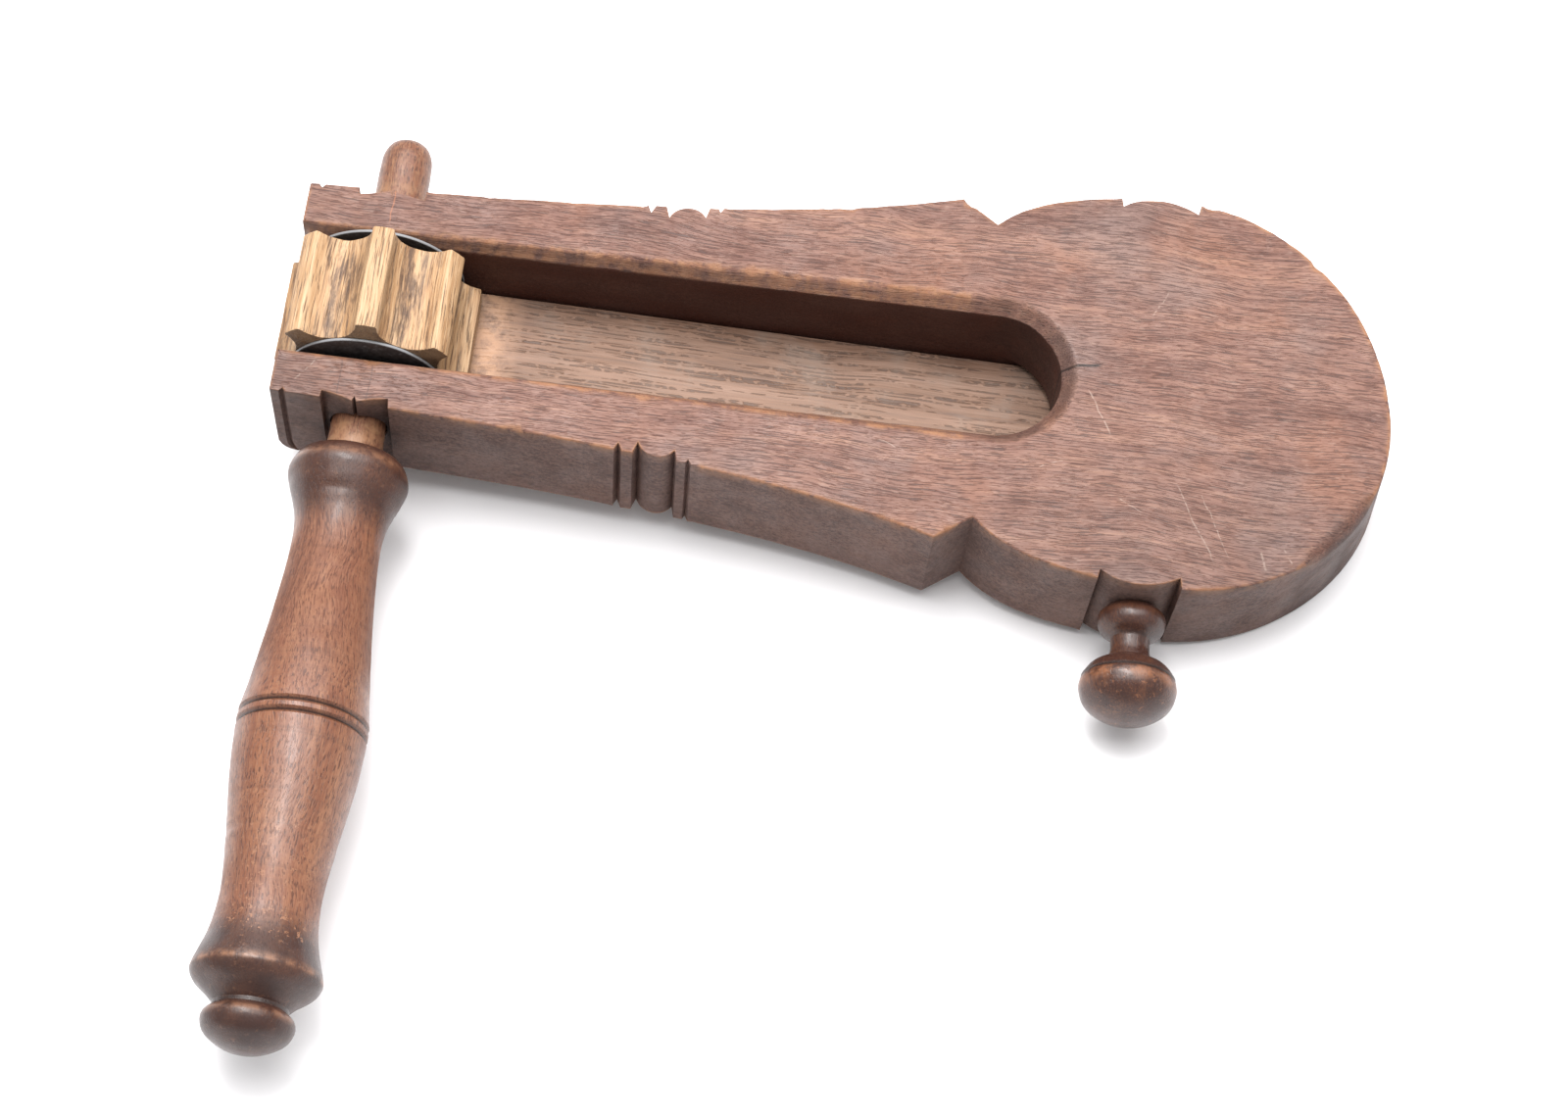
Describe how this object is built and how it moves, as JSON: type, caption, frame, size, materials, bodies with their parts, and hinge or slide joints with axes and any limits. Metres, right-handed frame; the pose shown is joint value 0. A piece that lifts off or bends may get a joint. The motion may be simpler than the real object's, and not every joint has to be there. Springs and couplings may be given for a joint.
{
  "type": "ratchet rattle",
  "caption": "Hand ratchet rattle: a turned handle spins a scooped wooden toothed wheel in a slotted board, and its teeth flick a sprung wooden tongue to make a loud clatter.",
  "frame": {"origin": "middle of the bounding box at its lowest height, below the lowest wheel tooth's tip", "axes": "+X along the board from the toothed wheel towards the round head, +Y along the crank spindle from the handle's finial towards the spindle's free tip, +Z square to the board's faces, up"},
  "size_m": [0.308, 0.2698, 0.058],
  "materials": {
    "board_wood": "worn, open pores, low sheen",
    "tongue_wood": "worn, dull",
    "screw_brass": "tarnished",
    "spindle_wood": "worn, low sheen",
    "wheel_wood": "worn, dull",
    "disc_dark": "dark, satin",
    "handle_wood": "polished by use",
    "knob_wood": "dark, polished by use"
  },
  "bodies": {
    "frame": {"body_board": "board_wood", "tongue_screws": "screw_brass", "side_knob": "knob_wood"},
    "sprung_tongue": {"tongue": "tongue_wood"},
    "crank": {"spindle": "spindle_wood", "ratchet_wheel": "wheel_wood", "near_disc": "disc_dark", "far_disc": "disc_dark", "handle": "handle_wood"}
  },
  "joints": [
    {"name": "crank_spin", "type": "hinge", "parent": "frame", "child": "crank", "pos_m": [-0.12863, 0.0747, 0.029], "axis": [0, 1, 0], "continuous": true, "deforming": ["tongue"]},
    {"name": "tongue_flex", "type": "hinge", "parent": "frame", "child": "sprung_tongue", "pos_m": [0.06037, 0.0747, 0.0156], "axis": [0, 1, 0], "range_deg": [-5, 0.1], "stiffness_Nm_per_rad": 72, "deforming": ["tongue"]}
  ]
}
